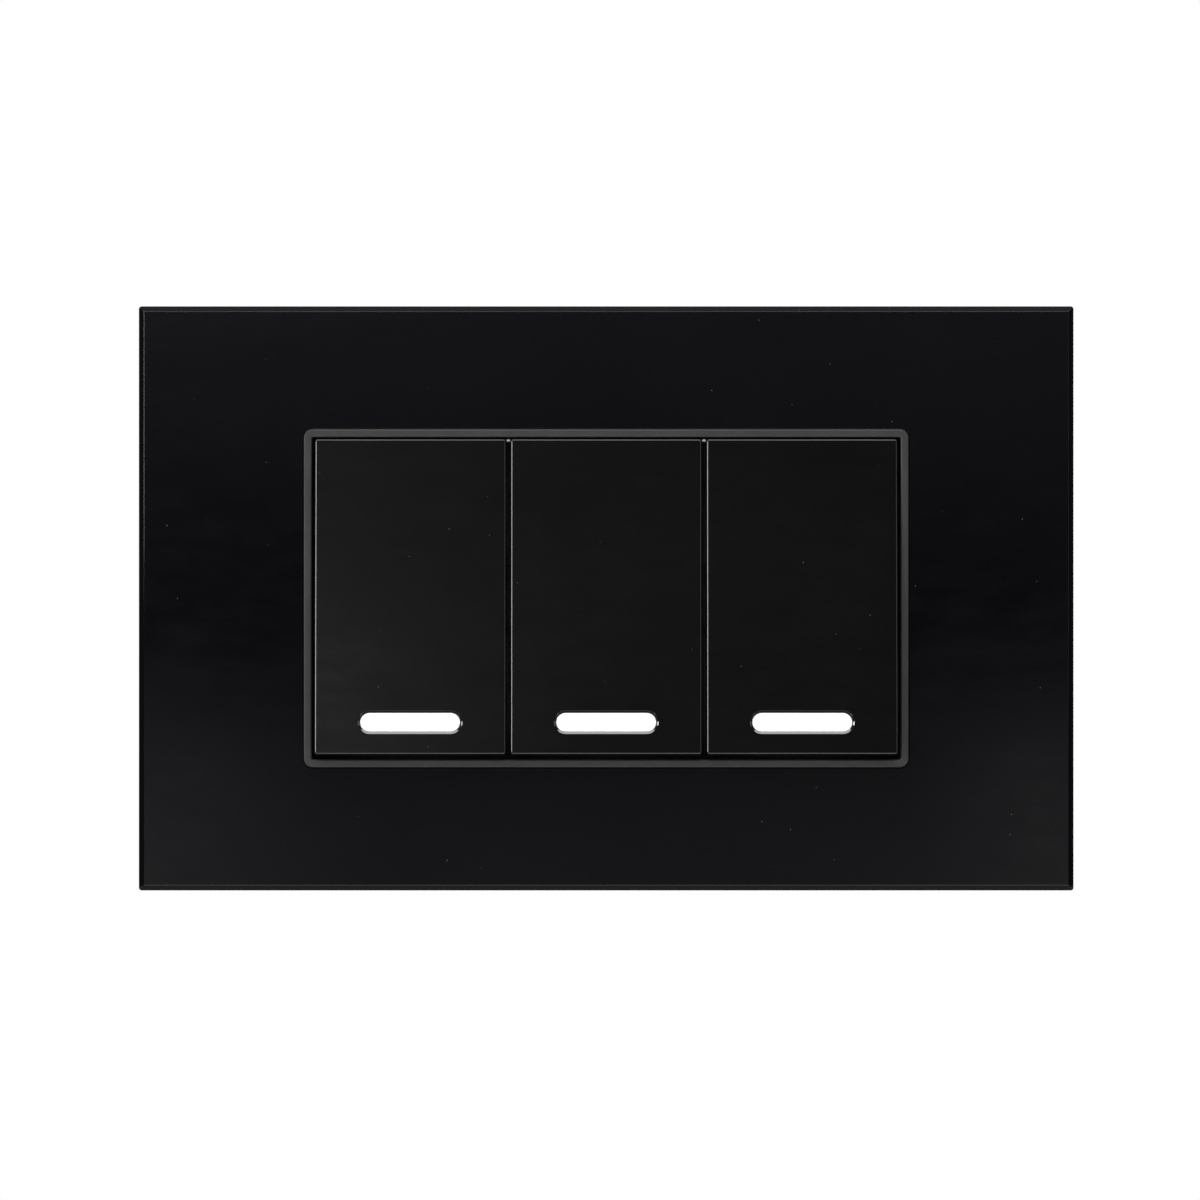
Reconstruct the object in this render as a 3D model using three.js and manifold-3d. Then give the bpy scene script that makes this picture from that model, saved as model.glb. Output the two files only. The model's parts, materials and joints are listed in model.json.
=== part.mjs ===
// A three-gang wall switch with its plate cover: a gloss panel on a moulded carrier clips over a support
// frame, and three one-way rocker modules snap into the frame and stand through the panel's window.
// Millimetres, +Z up. The wall is the plane y = 0, the front faces -Y and the modules reach into the wall
// box towards +Y. The origin is the middle of the plate, on the wall.
import * as THREE from "three";
import { mergeVertices } from "three/addons/utils/BufferGeometryUtils.js";
import Module from "manifold-3d";

const wasm = await Module();
wasm.setup();

// ---------------------------------------------------------------- driving dimensions

const ROUND = 20; // facets of a full circle
const ARC_STEPS = 3; // each arc of an outline gets twice as many facets
const SLIP = 0.1; // gap between fixed neighbours that touch on the real object

// Cover
const PLATE_W = 120;
const PLATE_H = 75;
const PLATE_FRONT = -9;
const PANEL_T = 3;
const PANEL_CHAMFER = 0.7;
const CARRIER_INSET = 0.6; // the carrier's edge lies behind the panel's edge
const CARRIER_FRONT = PLATE_FRONT + PANEL_T + 0.05;
const WEB_BACK = -4.4;
const RIM_T = 1.8;
const WINDOW_W = 75.5;
const WINDOW_H = 41.3;
const RING_T = 1.05;
const RING_FRONT = PLATE_FRONT - 0.25;
const RING_CORNER = 1.1;

// Snap clips that hold the cover on the frame
const CLIP_X = 48.5;
const CLIP_Z = 22;
const CLIP_SHEET = 0.3;
const POST_HALF_W = 1;
const POST_HALF_H = 2.5;
const POST_BACK = -0.7;
const LIP_HALF_W = 1.9;
const LIP_BACK = -2.2;
const CHAMBER_HALF_W = 2.9;
const CLIP_SLOT_HALF_H = 3;

// Support frame
const FRAME_W = 106;
const FRAME_H = 62;
const FRAME_FRONT = -3;
const FRAME_CORNER = 4;
const FRAME_WINDOW_W = 74.2;
const FRAME_WINDOW_H = 38.6;
const DIVIDER_T = 1.1; // bars between the modules
const SCREW_X = 41.75; // half of the wall box's 83.5 mm screw spacing
const SCREW_SLOT_R = 2.1;
const SCREW_SLOT_TRAVEL = 2; // the screw may sit this far above or below the middle
const SEAT_R = 3.4;
const SEAT_Y = -1.5;

// Modules
const MODULE_NAMES = ["left", "middle", "right"];
const PITCH = 25.1;
const REST_TILT = THREE.MathUtils.degToRad(3);
const ROCKER_W = 24.5;
const ROCKER_H = 40.5;
const ROCKER_T = 1.6;
const ROCKER_WALL = 1.2;
const ROCKER_CHAMFER = 0.25;
const PIVOT_Y = -6;
const FACE_Y = -4.5; // front of the rocker, measured from its pivot
const PIN_R = 1;
const BOSS_R = 3;
const BORE_R = 2.05;
const BOSS_BACK = 6.5; // measured from the pivot, as every rocker depth is
const LENS_W = 12.65;
const LENS_H = 2.25;
const LENS_Z = -16.1;
const SLOT_BEVEL_W = 0.28; // sloping rim around the lens, seen from the front
const SLOT_BEVEL_T = 0.15;
const PLUNGER_FRONT = 3;
const PLUNGER_TIP = 10.02;

// Housing and its contacts
const CRADLE_FRONT = -4.6;
const CRADLE_BACK = -3.2;
const CRADLE_W = 24.9;
const CRADLE_H = 41;
const HOUSING_W = 23.6;
const HOUSING_H = 35.4;
const HOUSING_FRONT = -3.1;
const HOUSING_BACK = 19.5;
const HOUSING_WALL = 1.3;
const CATCH_Y = [-2.5, -1.5]; // barbs of the cradle catch in windows of the housing's sides
const CATCH_Z = [9, 12];
const CONTACT_PIVOT_Y = 5.3;
const TERMINAL_W = 6;
const TERMINAL_Z = 12.3; // middle of a terminal block, above or below the module's middle
const BLOCK_INNER_Z = 8.5;
const BLOCK_OUTER_Z = 16.2;
const BLOCK_FRONT = 10;
const BLOCK_BACK = 18;
const TERMINAL_SCREW_Y = 14;
const WIRE_HOLE_R = 1.7;

// ---------------------------------------------------------------- materials

function material(color, roughness, metalness) {
  return new THREE.MeshStandardMaterial({ color, roughness, metalness, flatShading: true });
}

const GLOSS_BLACK = material(0x121214, 0.08, 0);
const MATTE_BLACK = material(0x2b2a2a, 0.6, 0);
const WHITE_DIFFUSER = material(0xf7f7f4, 0.35, 0);
const HOUSING_GREY = material(0x3a3b3d, 0.55, 0);
const WHITE_NYLON = material(0xe6e2d6, 0.45, 0);
const BRASS = material(0xb8934a, 0.35, 1);
const SPRING_STEEL = material(0x9a9ca0, 0.3, 1);
const ZINC_STEEL = material(0xb4b6ba, 0.35, 1);

// ---------------------------------------------------------------- solids

// A closed three.js geometry as a solid with its faces pointing out.
function solid(geometry) {
  const bare = geometry.clone();
  bare.deleteAttribute("normal");
  bare.deleteAttribute("uv");
  const merged = mergeVertices(bare, 1e-5);
  const triangles = [];
  for (let i = 0; i < merged.index.count; i += 3) {
    const a = merged.index.getX(i);
    const b = merged.index.getX(i + 1);
    const c = merged.index.getX(i + 2);
    if (a !== b && b !== c && c !== a) triangles.push([a, b, c]);
  }
  const vertProperties = merged.attributes.position.array;
  const asManifold = (list) =>
    new wasm.Manifold(new wasm.Mesh({ numProp: 3, vertProperties, triVerts: new Uint32Array(list.flat()) }));
  const made = asManifold(triangles);
  return made.volume() > 0 ? made : asManifold(triangles.map(([a, b, c]) => [a, c, b]));
}

function join(...solids) {
  return solids.reduce((whole, next) => whole.add(next));
}

function cut(whole, ...tools) {
  return tools.reduce((left, tool) => left.subtract(tool), whole);
}

function box([x0, x1], [y0, y1], [z0, z1]) {
  const geometry = new THREE.BoxGeometry(x1 - x0, y1 - y0, z1 - z0);
  return solid(geometry.translate((x0 + x1) / 2, (y0 + y1) / 2, (z0 + z1) / 2));
}

// The same box on the +X and the -X side.
function boxPairX([x0, x1], y, z) {
  return join(box([x0, x1], y, z), box([-x1, -x0], y, z));
}

// The same box on both sides and at both heights.
function boxFour(x, y, [z0, z1]) {
  return join(boxPairX(x, y, [z0, z1]), boxPairX(x, y, [-z1, -z0]));
}

function widened([low, high], by) {
  return [low - by, high + by];
}

function extrude(shape, depth) {
  return new THREE.ExtrudeGeometry(shape, { depth, bevelEnabled: false, curveSegments: ARC_STEPS });
}

// An outline in x and z, from y0 to y1.
function alongY(shape, y0, y1) {
  return solid(extrude(shape, y1 - y0).rotateX(Math.PI / 2).translate(0, y1, 0));
}

// An outline in y and z, from x0 to x1.
function alongX(shape, x0, x1) {
  const turn = new THREE.Matrix4().makeBasis(
    new THREE.Vector3(0, 1, 0),
    new THREE.Vector3(0, 0, 1),
    new THREE.Vector3(1, 0, 0),
  );
  return solid(extrude(shape, x1 - x0).applyMatrix4(turn).translate(x0, 0, 0));
}

// An outline in x and y, from z0 to z1.
function alongZ(shape, z0, z1) {
  return solid(extrude(shape, z1 - z0).translate(0, 0, z0));
}

function polygon(points) {
  return new THREE.Shape(points.map(([u, v]) => new THREE.Vector2(u, v)));
}

function roundedRectangle(w, h, r, u = 0, v = 0) {
  const shape = new THREE.Shape();
  const [a, b] = [w / 2 - r, h / 2 - r];
  shape.absarc(u + a, v + b, r, 0, Math.PI / 2);
  shape.absarc(u - a, v + b, r, Math.PI / 2, Math.PI);
  shape.absarc(u - a, v - b, r, Math.PI, 1.5 * Math.PI);
  shape.absarc(u + a, v - b, r, 1.5 * Math.PI, 2 * Math.PI);
  return shape;
}

function rectangle(w, h) {
  return polygon([[-w / 2, -h / 2], [w / 2, -h / 2], [w / 2, h / 2], [-w / 2, h / 2]]);
}

// A slot with round ends, length l over all, along u or along v.
function slot(l, w, u = 0, v = 0, upright = false) {
  const shape = new THREE.Shape();
  const [r, half] = [w / 2, (l - w) / 2];
  if (upright) {
    shape.absarc(u, v + half, r, 0, Math.PI);
    shape.absarc(u, v - half, r, Math.PI, 2 * Math.PI);
  } else {
    shape.absarc(u + half, v, r, -Math.PI / 2, Math.PI / 2);
    shape.absarc(u - half, v, r, Math.PI / 2, 1.5 * Math.PI);
  }
  return shape;
}

// A cylinder along x, y or z, between two places on that axis.
function rod(axis, r, from, to, place = [0, 0, 0]) {
  const geometry = new THREE.CylinderGeometry(r, r, to - from, ROUND);
  geometry.translate(0, (from + to) / 2, 0);
  if (axis === "x") geometry.rotateZ(-Math.PI / 2);
  if (axis === "z") geometry.rotateX(Math.PI / 2);
  return solid(geometry.translate(...place));
}

// A body turned about the y axis, from a profile of [radius, y].
function turned(profile) {
  const points = profile.map(([r, y]) => new THREE.Vector2(r, y));
  return solid(new THREE.LatheGeometry(points, ROUND));
}

// A slab whose front edge (towards -Y) is chamfered on all four sides.
function chamferedSlab(w, h, front, back, chamfer) {
  const profile = (size) => [
    [-size / 2, back], [-size / 2, front + chamfer], [-size / 2 + chamfer, front],
    [size / 2 - chamfer, front], [size / 2, front + chamfer], [size / 2, back],
  ];
  const across = alongZ(polygon(profile(w)), -h / 2, h / 2);
  const upright = alongX(polygon(profile(h).map(([z, y]) => [y, z])), -w / 2, w / 2);
  return across.intersect(upright);
}

// A sheet strip of the given thickness that follows a line of [x, y] points.
function bentStrip(line, thickness) {
  const side = (sign) =>
    line.map((point, i) => {
      const p = new THREE.Vector2(...point);
      const before = new THREE.Vector2(...line[Math.max(i - 1, 0)]);
      const after = new THREE.Vector2(...line[Math.min(i + 1, line.length - 1)]);
      const inDir = i > 0 ? p.clone().sub(before).normalize() : after.clone().sub(p).normalize();
      const outDir = i < line.length - 1 ? after.clone().sub(p).normalize() : inDir;
      const mid = inDir.clone().add(outDir).normalize();
      const normal = new THREE.Vector2(-mid.y, mid.x);
      const reach = thickness / 2 / Math.max(mid.dot(inDir), 0.5);
      return p.addScaledVector(normal, sign * reach);
    });
  return new THREE.Shape([...side(1), ...side(-1).reverse()]);
}

function mesh(name, madeOf, whole) {
  const { vertProperties, triVerts } = whole.getMesh();
  const geometry = new THREE.BufferGeometry();
  geometry.setAttribute("position", new THREE.BufferAttribute(new Float32Array(vertProperties), 3));
  geometry.setIndex(new THREE.BufferAttribute(new Uint32Array(triVerts), 1));
  const named = new THREE.Mesh(geometry, madeOf);
  named.name = name;
  return named;
}

// ---------------------------------------------------------------- cover

// The flat gloss panel, with the window that the ring stands in.
function coverPanel() {
  const slab = chamferedSlab(PLATE_W, PLATE_H, PLATE_FRONT, PLATE_FRONT + PANEL_T, PANEL_CHAMFER);
  const opening = roundedRectangle(
    WINDOW_W + 2 * (RING_T + SLIP), WINDOW_H + 2 * (RING_T + SLIP), RING_CORNER + SLIP,
  );
  return cut(slab, alongY(opening, PLATE_FRONT - 1, PLATE_FRONT + PANEL_T + 1));
}

// The moulding behind the panel: web, perimeter rim, the ring around the window and the clip posts.
function coverCarrier() {
  const halfW = PLATE_W / 2 - CARRIER_INSET;
  const halfH = PLATE_H / 2 - CARRIER_INSET;
  const block = box([-halfW, halfW], [CARRIER_FRONT, 0], [-halfH, halfH]);
  const hollow = box([RIM_T - halfW, halfW - RIM_T], [WEB_BACK, 1], [RIM_T - halfH, halfH - RIM_T]);
  const ring = alongY(
    roundedRectangle(WINDOW_W + 2 * RING_T, WINDOW_H + 2 * RING_T, RING_CORNER), RING_FRONT, WEB_BACK,
  );
  const window = alongY(rectangle(WINDOW_W, WINDOW_H), RING_FRONT - 1, 1);

  const ribBack = WEB_BACK + 1;
  const [ribInnerZ, ribInnerX] = [23.5, 39.5];
  const ribs = [];
  for (const side of [-1, 1]) {
    for (const x of [-36, -12, 12, 36]) {
      const z = [side * ribInnerZ, side * (halfH - RIM_T + 0.2)].sort((a, b) => a - b);
      ribs.push(box([x - 0.5, x + 0.5], [WEB_BACK - 0.2, ribBack], z));
    }
    for (const z of [-11, 11]) {
      const x = [side * ribInnerX, side * (halfW - RIM_T + 0.2)].sort((a, b) => a - b);
      ribs.push(box(x, [WEB_BACK - 0.2, ribBack], [z - 0.5, z + 0.5]));
    }
  }

  const posts = [];
  for (const x of [-CLIP_X, CLIP_X]) {
    for (const z of [-CLIP_Z, CLIP_Z]) {
      const across = [x - POST_HALF_W, x + POST_HALF_W];
      posts.push(box(across, [WEB_BACK - 0.2, POST_BACK], [z - POST_HALF_H, z + POST_HALF_H]));
    }
  }

  const notches = boxPairX([30, 36], [-1.4, 1], [-halfH - 1, -halfH + RIM_T + 1]);
  return cut(join(cut(block, hollow), ring, ...ribs, ...posts), window, notches);
}

// A spring clip folded over a post's end: its two bulges catch behind the lips of the frame's slot.
function snapClip() {
  const half = [[1.2, -0.45], [2.15, -1.35], [1.5, -2.4], [1.5, -3.3], [1.75, -4.1]];
  const line = [...half.map(([x, y]) => [-x, y]).reverse(), ...half];
  return alongZ(bentStrip(line, CLIP_SHEET), -2.2, 2.2);
}

// ---------------------------------------------------------------- support frame

function supportFrame() {
  const plate = alongY(roundedRectangle(FRAME_W, FRAME_H, FRAME_CORNER), FRAME_FRONT, 0);
  const window = alongY(rectangle(FRAME_WINDOW_W, FRAME_WINDOW_H), FRAME_FRONT - 1, 1);
  const dividerX = [(PITCH - DIVIDER_T) / 2, (PITCH + DIVIDER_T) / 2];
  const dividerZ = widened([-FRAME_WINDOW_H / 2, FRAME_WINDOW_H / 2], 0.5);
  const dividers = boxPairX(dividerX, [FRAME_FRONT, 0], dividerZ);
  const ribX = [-FRAME_W / 2 + 3, FRAME_W / 2 - 3];
  const ribY = [FRAME_FRONT - 1.2, FRAME_FRONT + 0.2];
  const ribs = [box(ribX, ribY, [21, 22.2]), box(ribX, ribY, [-22.2, -21])];

  const holes = [];
  for (const x of [-SCREW_X, SCREW_X]) {
    const seatLength = 2 * (SEAT_R + SCREW_SLOT_TRAVEL);
    const slotLength = 2 * (SCREW_SLOT_R + SCREW_SLOT_TRAVEL);
    holes.push(alongY(slot(seatLength, 2 * SEAT_R, x, 0, true), FRAME_FRONT - 1, SEAT_Y));
    holes.push(alongY(slot(slotLength, 2 * SCREW_SLOT_R, x, 0, true), FRAME_FRONT, 1));
  }
  for (const x of [-CLIP_X, CLIP_X]) {
    for (const z of [-CLIP_Z, CLIP_Z]) {
      const upright = [z - CLIP_SLOT_HALF_H, z + CLIP_SLOT_HALF_H];
      holes.push(box([x - LIP_HALF_W, x + LIP_HALF_W], [FRAME_FRONT - 2, 1], upright));
      holes.push(box([x - CHAMBER_HALF_W, x + CHAMBER_HALF_W], [LIP_BACK, 1], upright));
    }
  }

  // Shallow pockets in the back keep the wall thickness even.
  for (const z of [-1, 1]) {
    for (const x of [-26, 0, 26]) {
      const upright = [z * 22.5, z * 29].sort((a, b) => a - b);
      holes.push(box([x - 10, x + 10], [-1.2, 1], upright));
    }
  }
  return cut(join(cut(join(plate, ...ribs), window), dividers), ...holes);
}

// A pan-head machine screw along y with a cross recess. Its seat is at y = 0 and the head towards -Y.
function mountingScrew() {
  const [shankR, headR, length] = [1.7, 3.1, 21.5];
  const body = turned([
    [0, length], [shankR - 0.5, length], [shankR, length - 0.7], [shankR, 0],
    [headR, 0], [headR, -1], [headR - 0.7, -1.7], [headR - 1.7, -2], [0, -2],
  ]);
  const recess = join(box([-1.6, 1.6], [-3, -1], [-0.35, 0.35]), box([-0.35, 0.35], [-3, -1], [-1.6, 1.6]));
  return cut(body, recess);
}

// ---------------------------------------------------------------- rocker and what rides in it

// Measured from its pivot: face plate, skirt, two ears with pins that point inwards, and the plunger's boss.
function rocker() {
  const plateBack = FACE_Y + ROCKER_T;
  const [halfW, halfH] = [ROCKER_W / 2, ROCKER_H / 2];
  const innerW = halfW - ROCKER_WALL;
  const innerH = halfH - ROCKER_WALL;
  const [endSkirtBack, sideSkirtBack, earBack, earHalf] = [-0.4, -1.2, 1.8, 3.2];

  const slab = chamferedSlab(ROCKER_W, ROCKER_H, FACE_Y, plateBack, ROCKER_CHAMFER);
  const into = plateBack - 0.2;
  const sides = boxPairX([innerW, halfW], [into, sideSkirtBack], [-halfH, halfH]);
  const ends = join(
    box([-halfW, halfW], [into, endSkirtBack], [innerH, halfH]),
    box([-halfW, halfW], [into, endSkirtBack], [-halfH, -innerH]),
  );
  const ears = boxPairX([innerW, halfW], [into, earBack], [-earHalf, earHalf]);
  const pins = join(
    rod("x", PIN_R, innerW - 1.55, innerW + 0.3),
    rod("x", PIN_R, -innerW - 0.3, -innerW + 1.55),
  );
  const boss = rod("y", BOSS_R, into, BOSS_BACK);
  const bore = rod("y", BORE_R, plateBack, BOSS_BACK + 1);
  const ribs = join(
    box([-0.5, 0.5], [into, plateBack + 1.4], [BOSS_R - 0.3, innerH + 0.2]),
    box([-0.5, 0.5], [into, plateBack + 1.4], [LENS_Z + 2.8, -BOSS_R + 0.3]),
  );
  const [slotW, slotH] = [LENS_W + 2 * SLIP, LENS_H + 2 * SLIP];
  const lensSlot = alongY(slot(slotW, slotH, 0, LENS_Z), FACE_Y - 1, plateBack + 1);
  return cut(join(slab, sides, ends, ears, pins, boss, ribs), bore, lensSlot, slotBevel(slotW, slotH));
}

// The cutter for the slot's rim. Its slope runs on past the rim at both ends, so that it cuts clean.
function slotBevel(slotW, slotH) {
  const [widen, deepen] = [3 * SLOT_BEVEL_W, 3 * SLOT_BEVEL_T];
  const smallEnd = slot(slotW - 2 * SLOT_BEVEL_W, slotH - 2 * SLOT_BEVEL_W, 0, LENS_Z);
  const geometry = new THREE.ExtrudeGeometry(smallEnd, {
    depth: 1,
    curveSegments: ARC_STEPS,
    bevelSegments: 1,
    bevelSize: widen,
    bevelThickness: deepen,
  });
  const smallEndY = FACE_Y + 2 * SLOT_BEVEL_T;
  return solid(geometry.rotateX(Math.PI / 2).translate(0, smallEndY - deepen, 0));
}

// The white insert ends at the foot of the slot's sloping rim and has a flange behind the face plate.
function indicatorLens() {
  const flangeFront = FACE_Y + ROCKER_T + 0.05;
  const body = alongY(slot(LENS_W, LENS_H, 0, LENS_Z), FACE_Y + SLOT_BEVEL_T, flangeFront + 0.2);
  const flange = alongY(slot(LENS_W + 2.1, LENS_H + 1.8, 0, LENS_Z), flangeFront, flangeFront + 0.8);
  return join(body, flange);
}

function plunger() {
  const guideR = BORE_R - 0.15;
  return turned([
    [0, PLUNGER_TIP], [0.7, PLUNGER_TIP - 0.12], [1.1, PLUNGER_TIP - 0.5], [1.1, PLUNGER_TIP - 1.5],
    [guideR, PLUNGER_TIP - 2.8], [guideR, PLUNGER_FRONT], [0, PLUNGER_FRONT],
  ]);
}

class Helix extends THREE.Curve {
  constructor(radius, from, to, turns) {
    super();
    Object.assign(this, { radius, from, to, turns });
  }

  getPoint(t, target = new THREE.Vector3()) {
    const angle = 2 * Math.PI * this.turns * t;
    const y = this.from + (this.to - this.from) * t;
    return target.set(this.radius * Math.cos(angle), y, this.radius * Math.sin(angle));
  }
}

// The coil spring in the boss, between the face plate and the plunger's front end.
function plungerSpring() {
  const [wireR, coilR, turns, stepsPerTurn, sides] = [0.22, 1.5, 5, 8, 4];
  const path = new Helix(coilR, FACE_Y + ROCKER_T + 0.35, PLUNGER_FRONT - 0.35, turns);
  const corners = Array.from({ length: sides }, (_, i) => {
    const angle = (2 * Math.PI * i) / sides;
    return [wireR * Math.cos(angle), wireR * Math.sin(angle)];
  });
  const options = { steps: turns * stepsPerTurn, extrudePath: path };
  return solid(new THREE.ExtrudeGeometry(polygon(corners), options));
}

// ---------------------------------------------------------------- module body

// The front cap of a module: bearings and stops for the rocker, and hooks that hold the module in the frame.
function cradle() {
  const halfW = CRADLE_W / 2;
  const plate = box([-halfW, halfW], [CRADLE_FRONT, CRADLE_BACK], [-CRADLE_H / 2, CRADLE_H / 2]);
  const into = CRADLE_FRONT + 0.2;
  const [wallFront, stopFront] = [-8.2, -7.9];
  const bearings = boxPairX([9.4, 10.8], [wallFront, into], [-4.5, 4.5]);
  const stops = boxFour([8.2, 10.4], [stopFront, into], [15.5, 16.5]);
  const spigotOut = HOUSING_W / 2 - HOUSING_WALL - 0.2;
  const spigot = boxPairX([spigotOut - 1, spigotOut], [CRADLE_BACK - 0.2, -1], [-14, 14]);
  const barbs = boxFour([spigotOut - 0.2, spigotOut + 0.7], CATCH_Y, CATCH_Z);
  const hook = (sign) => {
    const profile = [
      [CRADLE_BACK - 0.2, 18.1], [CRADLE_BACK - 0.2, 19.1], [SLIP, 19.1], [SLIP, 20.1],
      [0.5, 20.1], [1.6, 18.9], [1.6, 18.1],
    ];
    return alongX(polygon(profile.map(([y, z]) => [y, sign * z])), -5, 5);
  };
  const bossOpening = box([-5.2, 5.2], [-20, 20], [-7, 7]);
  const earPockets = boxPairX([10.9, halfW + 1], [-20, 20], [-4.6, 4.6]);
  const pinHoles = rod("x", PIN_R + 0.12, -halfW, halfW, [0, PIVOT_Y, 0]);
  const snapIn = box([-halfW, halfW], [wallFront - 1, PIVOT_Y], [-0.85, 0.85]);
  const body = join(plate, bearings, stops, spigot, barbs, hook(1), hook(-1));
  return cut(body, bossOpening, earPockets, pinHoles, snapIn);
}

// An open-fronted box with wire holes in the back and screw access holes above and below.
function housing() {
  const [halfW, halfH] = [HOUSING_W / 2, HOUSING_H / 2];
  const [innerW, innerH] = [halfW - HOUSING_WALL, halfH - HOUSING_WALL];
  const innerBack = HOUSING_BACK - HOUSING_WALL;
  const shell = cut(
    box([-halfW, halfW], [HOUSING_FRONT, HOUSING_BACK], [-halfH, halfH]),
    box([-innerW, innerW], [HOUSING_FRONT - 1, innerBack], [-innerH, innerH]),
  );
  const guides = [];
  const holes = [
    boxFour([innerW - 0.5, halfW + 1], widened(CATCH_Y, 0.2), widened(CATCH_Z, 0.2)),
    alongY(roundedRectangle(17, 12, 1), HOUSING_BACK - 0.4, HOUSING_BACK + 1),
  ];
  for (const sign of [-1, 1]) {
    const upright = [sign * BLOCK_INNER_Z, sign * (innerH + 0.2)].sort((a, b) => a - b);
    guides.push(boxPairX([TERMINAL_W / 2 + SLIP, TERMINAL_W / 2 + 1.1], [12, innerBack + 0.2], upright));
    const entry = [
      [0, innerBack - 1], [WIRE_HOLE_R + 0.4, innerBack - 1], [WIRE_HOLE_R + 0.4, HOUSING_BACK - 0.7],
      [WIRE_HOLE_R + 1.3, HOUSING_BACK + 0.2], [0, HOUSING_BACK + 0.2],
    ];
    holes.push(turned(entry).translate([0, 0, sign * TERMINAL_Z]));
    const access = [sign * (innerH - 0.3), sign * (halfH + 1)].sort((a, b) => a - b);
    holes.push(rod("z", 3.1, ...access, [0, TERMINAL_SCREW_Y, 0]));
  }
  return cut(join(shell, ...guides), ...holes);
}

// A terminal's block and strip, bent from one piece; sign is +1 above the middle and -1 below it.
function terminal(profile, sign) {
  const strip = alongX(polygon(profile.map(([y, z]) => [y, sign * z])), -TERMINAL_W / 2, TERMINAL_W / 2);
  const wireHole = rod("y", WIRE_HOLE_R, 11.5, BLOCK_BACK + 1, [0, 0, sign * TERMINAL_Z]);
  const threaded = [sign * TERMINAL_Z, sign * (BLOCK_OUTER_Z + 1)].sort((a, b) => a - b);
  return cut(strip, wireHole, rod("z", 1.5, ...threaded, [0, TERMINAL_SCREW_Y, 0]));
}

// The switched terminal carries the fixed contact above the middle.
function switchedTerminal() {
  const [tabFront, tabBack] = [7.1, 8];
  const strip = terminal([
    [BLOCK_BACK, BLOCK_INNER_Z], [BLOCK_BACK, BLOCK_OUTER_Z], [BLOCK_FRONT, BLOCK_OUTER_Z],
    [BLOCK_FRONT, BLOCK_INNER_Z + 0.9], [tabFront, BLOCK_INNER_Z + 0.9], [tabFront, 4.6],
    [tabBack, 4.6], [tabBack, BLOCK_INNER_Z],
  ], 1);
  return join(strip, rod("y", 1.5, tabFront - 0.55, tabFront + 0.2, [0, 0, 6.3]));
}

// The common terminal reaches to the middle and carries the knife edge that the moving contact tilts on.
function commonTerminal() {
  const [tabFront, tabBack, knifeTip] = [7.2, 8.1, CONTACT_PIVOT_Y - 0.3];
  return terminal([
    [BLOCK_BACK, BLOCK_INNER_Z], [tabBack, BLOCK_INNER_Z], [tabBack, -0.9], [tabFront, -0.9],
    [knifeTip, -0.12], [knifeTip, 0.12], [tabFront, 0.9], [tabFront, BLOCK_INNER_Z + 0.9],
    [BLOCK_FRONT, BLOCK_INNER_Z + 0.9], [BLOCK_FRONT, BLOCK_OUTER_Z], [BLOCK_BACK, BLOCK_OUTER_Z],
  ], -1);
}

// The see-saw strip that the plunger tips, measured from the knife edge it turns on.
function movingContact() {
  const [front, back] = [-1.2, -0.4];
  const strip = box([-2.5, 2.5], [front, back], [-7.2, 8.2]);
  return join(strip, rod("y", 1.5, back - 0.2, 0.3, [0, 0, 6.3]));
}

// A slotted screw along z, with its head's underside at z = 0.
function terminalScrew() {
  const [shankR, headR, headT, length] = [1.4, 2.5, 1.5, 3.3];
  const body = join(rod("z", shankR, -length, 0.2), rod("z", headR, 0, headT));
  return cut(body, box([-3, 3], [-0.35, 0.35], [headT - 0.8, headT + 1]));
}

// ---------------------------------------------------------------- assembly

function placed(named, x, y, z) {
  named.position.set(x, y, z);
  return named;
}

function switchModule(side) {
  const module = new THREE.Group();

  const tilting = new THREE.Group();
  tilting.position.set(0, PIVOT_Y, 0);
  tilting.rotation.x = -REST_TILT;
  tilting.add(mesh(`rocker_${side}`, GLOSS_BLACK, rocker()));
  tilting.add(mesh(`indicator_lens_${side}`, WHITE_DIFFUSER, indicatorLens()));
  tilting.add(mesh(`plunger_${side}`, WHITE_NYLON, plunger()));
  tilting.add(mesh(`plunger_spring_${side}`, SPRING_STEEL, plungerSpring()));
  module.add(tilting);

  const contact = placed(mesh(`moving_contact_${side}`, BRASS, movingContact()), 0, CONTACT_PIVOT_Y, 0);
  contact.rotation.x = 2 * REST_TILT;
  module.add(contact);

  module.add(mesh(`cradle_${side}`, MATTE_BLACK, cradle()));
  module.add(mesh(`housing_${side}`, HOUSING_GREY, housing()));
  module.add(mesh(`switched_terminal_${side}`, BRASS, switchedTerminal()));
  module.add(mesh(`common_terminal_${side}`, BRASS, commonTerminal()));

  const seat = BLOCK_OUTER_Z + SLIP;
  for (const [which, sign] of [["switched", 1], ["common", -1]]) {
    const screw = mesh(`${which}_screw_${side}`, ZINC_STEEL, terminalScrew());
    screw.rotation.x = sign > 0 ? 0 : Math.PI;
    module.add(placed(screw, 0, TERMINAL_SCREW_Y, sign * seat));
  }
  return module;
}

const wallSwitch = new THREE.Group();

wallSwitch.add(mesh("cover_panel", GLOSS_BLACK, coverPanel()));
wallSwitch.add(mesh("cover_carrier", MATTE_BLACK, coverCarrier()));
for (const [across, x] of [["left", -CLIP_X], ["right", CLIP_X]]) {
  for (const [height, z] of [["lower", -CLIP_Z], ["upper", CLIP_Z]]) {
    wallSwitch.add(placed(mesh(`snap_clip_${height}_${across}`, SPRING_STEEL, snapClip()), x, 0, z));
  }
}

wallSwitch.add(mesh("support_frame", MATTE_BLACK, supportFrame()));
for (const [across, x] of [["left", -SCREW_X], ["right", SCREW_X]]) {
  wallSwitch.add(placed(mesh(`mounting_screw_${across}`, ZINC_STEEL, mountingScrew()), x, SEAT_Y - 0.05, 0));
}

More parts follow.
